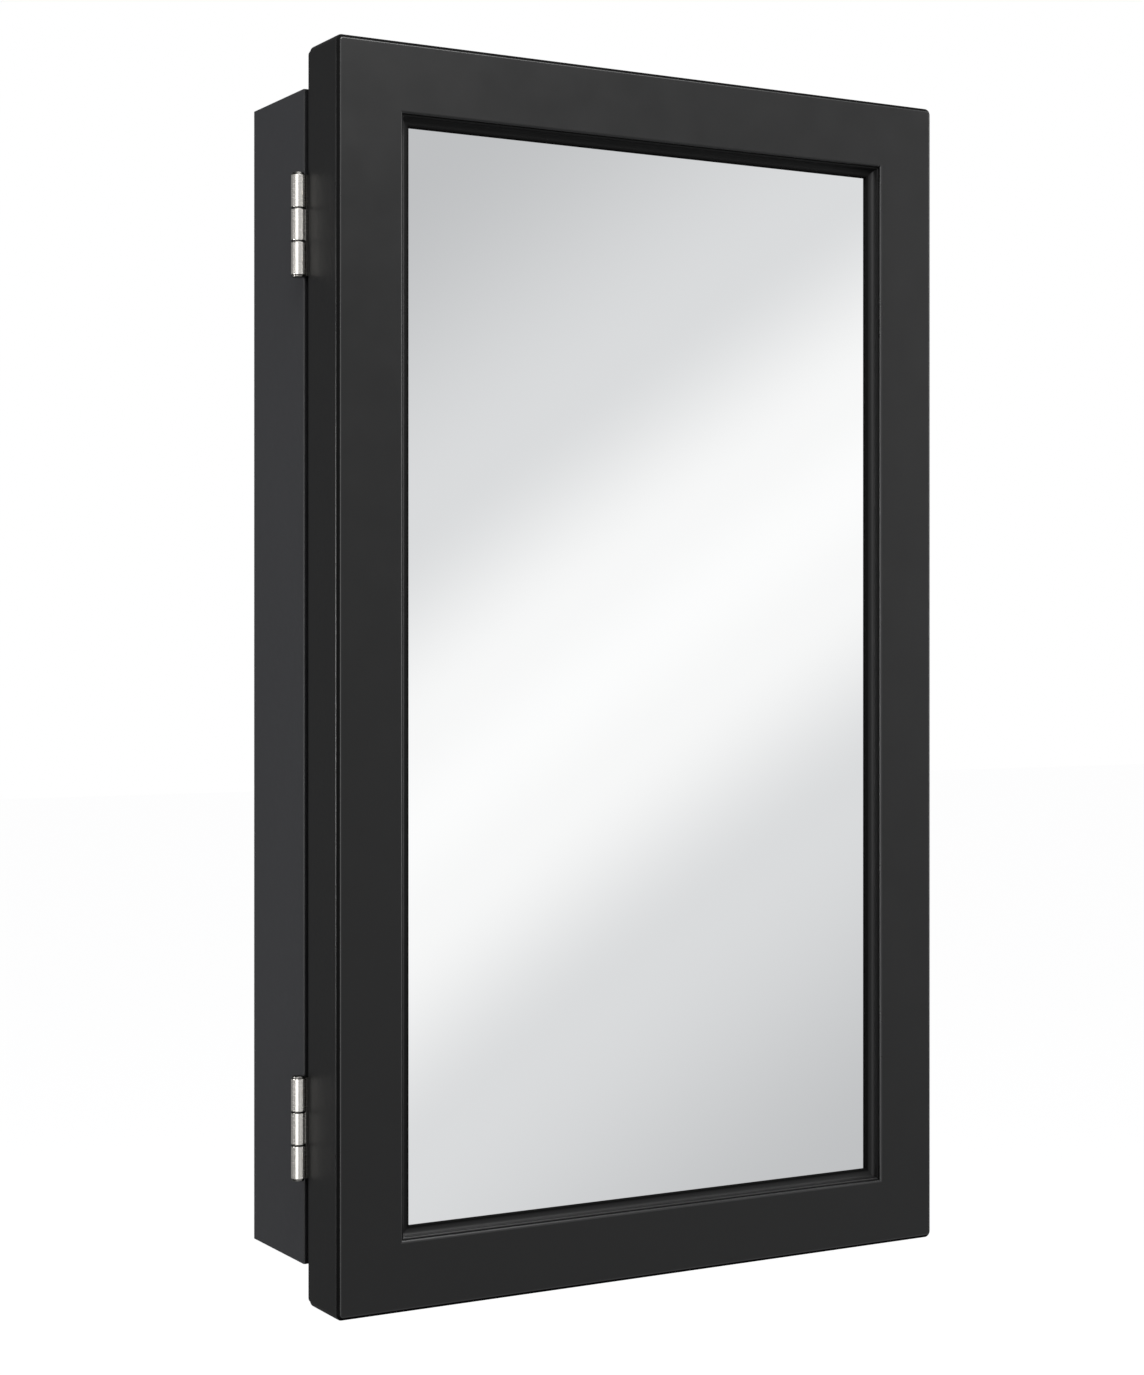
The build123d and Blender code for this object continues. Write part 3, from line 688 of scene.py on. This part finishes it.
def within(tree, direction, axis, fade_out):
    """One for directions near an axis's middle plane, fading out between two distances."""
    distance = calculate(tree, "ABSOLUTE", dot(tree, direction, axis))
    return remap(tree, distance, fade_out, (1.0, 0.0), "SMOOTHSTEP")


def bright_panel(tree, direction):
    """The light of the panel at the front left."""
    glow = calculate(tree, "GREATER_THAN", dot(tree, direction, PANEL_HEADING), 0.0)
    for factor in (within(tree, direction, PANEL_ACROSS, PANEL_WIDTH),
                   within(tree, direction, (0.0, 0.0, 1.0), PANEL_HEIGHT), PANEL_GLOW):
        glow = calculate(tree, "MULTIPLY", glow, factor)
    return glow


def make_world():
    """A white surround, which shows the room to glossy surfaces."""
    world = bpy.data.worlds.new("studio")
    bpy.context.scene.world = world
    world.use_nodes = True
    tree = world.node_tree
    tree.nodes.clear()
    direction = add_node(tree, "ShaderNodeTexCoord").outputs["Generated"]
    parts = add_node(tree, "ShaderNodeSeparateXYZ", {"Vector": direction}).outputs
    off_band = calculate(tree, "SUBTRACT", dot(tree, direction, BAND_AXIS), BAND_CENTRE)
    distance = calculate(tree, "ABSOLUTE", off_band)
    band = ramp(tree, remap(tree, distance, (0.0, BAND_REACH), (0.0, 1.0)), BAND_STOPS)
    lit = [remap(tree, parts[axis], fade_out, (1.0, DARK_SHARE), "SMOOTHSTEP")
           for axis, fade_out in (("Y", BEHIND), ("X", FAR_LEFT))]
    walls = scaled(tree, band, calculate(tree, "MINIMUM", *lit))
    room = add_node(tree, "ShaderNodeVectorMath", {0: walls, 1: bright_panel(tree, direction)},
                    operation="ADD").outputs["Vector"]
    camera_ray, direct_ray = ray_kinds(tree)
    light = mixed(tree, direct_ray, AMBIENT, mixed(tree, camera_ray, room, WHITE))
    background = add_node(tree, "ShaderNodeBackground", {"Color": light})
    output = add_node(tree, "ShaderNodeOutputWorld")
    tree.links.new(background.outputs[0], output.inputs["Surface"])


def make_floor():
    """A pale floor well below the cabinet, which keeps a soft shadow."""
    half = FLOOR_SIZE / 2
    corners = ((-half, -half), (half, -half), (half, half), (-half, half))
    mesh = bpy.data.meshes.new("floor")
    mesh.from_pydata([(x, y, FLOOR_LEVEL) for x, y in corners], [], [(0, 1, 2, 3)])
    floor = bpy.data.objects.new("floor", mesh)
    bpy.context.scene.collection.objects.link(floor)
    material = bpy.data.materials.new("floor")
    material.use_nodes = True
    tree = material.node_tree
    tree.nodes.clear()
    matt = add_node(tree, "ShaderNodeBsdfDiffuse", {"Color": FLOOR_COLOUR})
    glow = add_node(tree, "ShaderNodeEmission",
                    {"Color": FLOOR_GLOW, "Strength": ray_kinds(tree)[1]})
    both = add_node(tree, "ShaderNodeAddShader", {0: matt.outputs[0], 1: glow.outputs[0]})
    output = add_node(tree, "ShaderNodeOutputMaterial")
    tree.links.new(both.outputs[0], output.inputs["Surface"])
    mesh.materials.append(material)
    floor.visible_glossy = False


def make_softbox(name, place, target, size, power, on_matt=True):
    """A soft rectangular light turned to a target, which lights matt surfaces too or doesn't."""
    data = bpy.data.lights.new(name, "AREA")
    data.shape = "RECTANGLE"
    data.size, data.size_y = size
    data.energy = power
    light = bpy.data.objects.new(name, data)
    light.location = place
    aim = Vector(target) - Vector(place)
    light.rotation_euler = aim.to_track_quat("-Z", "Y").to_euler()
    light.visible_camera = False
    light.visible_diffuse = on_matt
    bpy.context.scene.collection.objects.link(light)


def make_lights():
    """The softbox above, and the strips that light the arrises and the sides."""
    make_softbox("key_softbox", place=(-0.2, -0.75, 1.0), target=(0.0, -0.1, 0.1),
                 size=(0.9, 0.6), power=18.0)
    make_softbox("top_strip", place=(0.3, -0.67, 1.13), target=(0.0, -0.1, 0.0),
                 size=(0.8, 0.5), power=5.0, on_matt=False)
    make_softbox("side_strip", place=(-1.5, 0.03, 0.0), target=(-0.19, 0.0, 0.0),
                 size=(0.4, 0.45), power=11.0)
    make_softbox("right_strip", place=(1.07, -0.37, 0.2), target=(-0.19, -0.07, 0.0),
                 size=(0.35, 1.0), power=4.5)


bpy.context.scene.view_settings.view_transform = "Standard"
dress_nodes()
make_frame_bars()
make_hinges()
make_camera()
make_world()
make_floor()
make_lights()
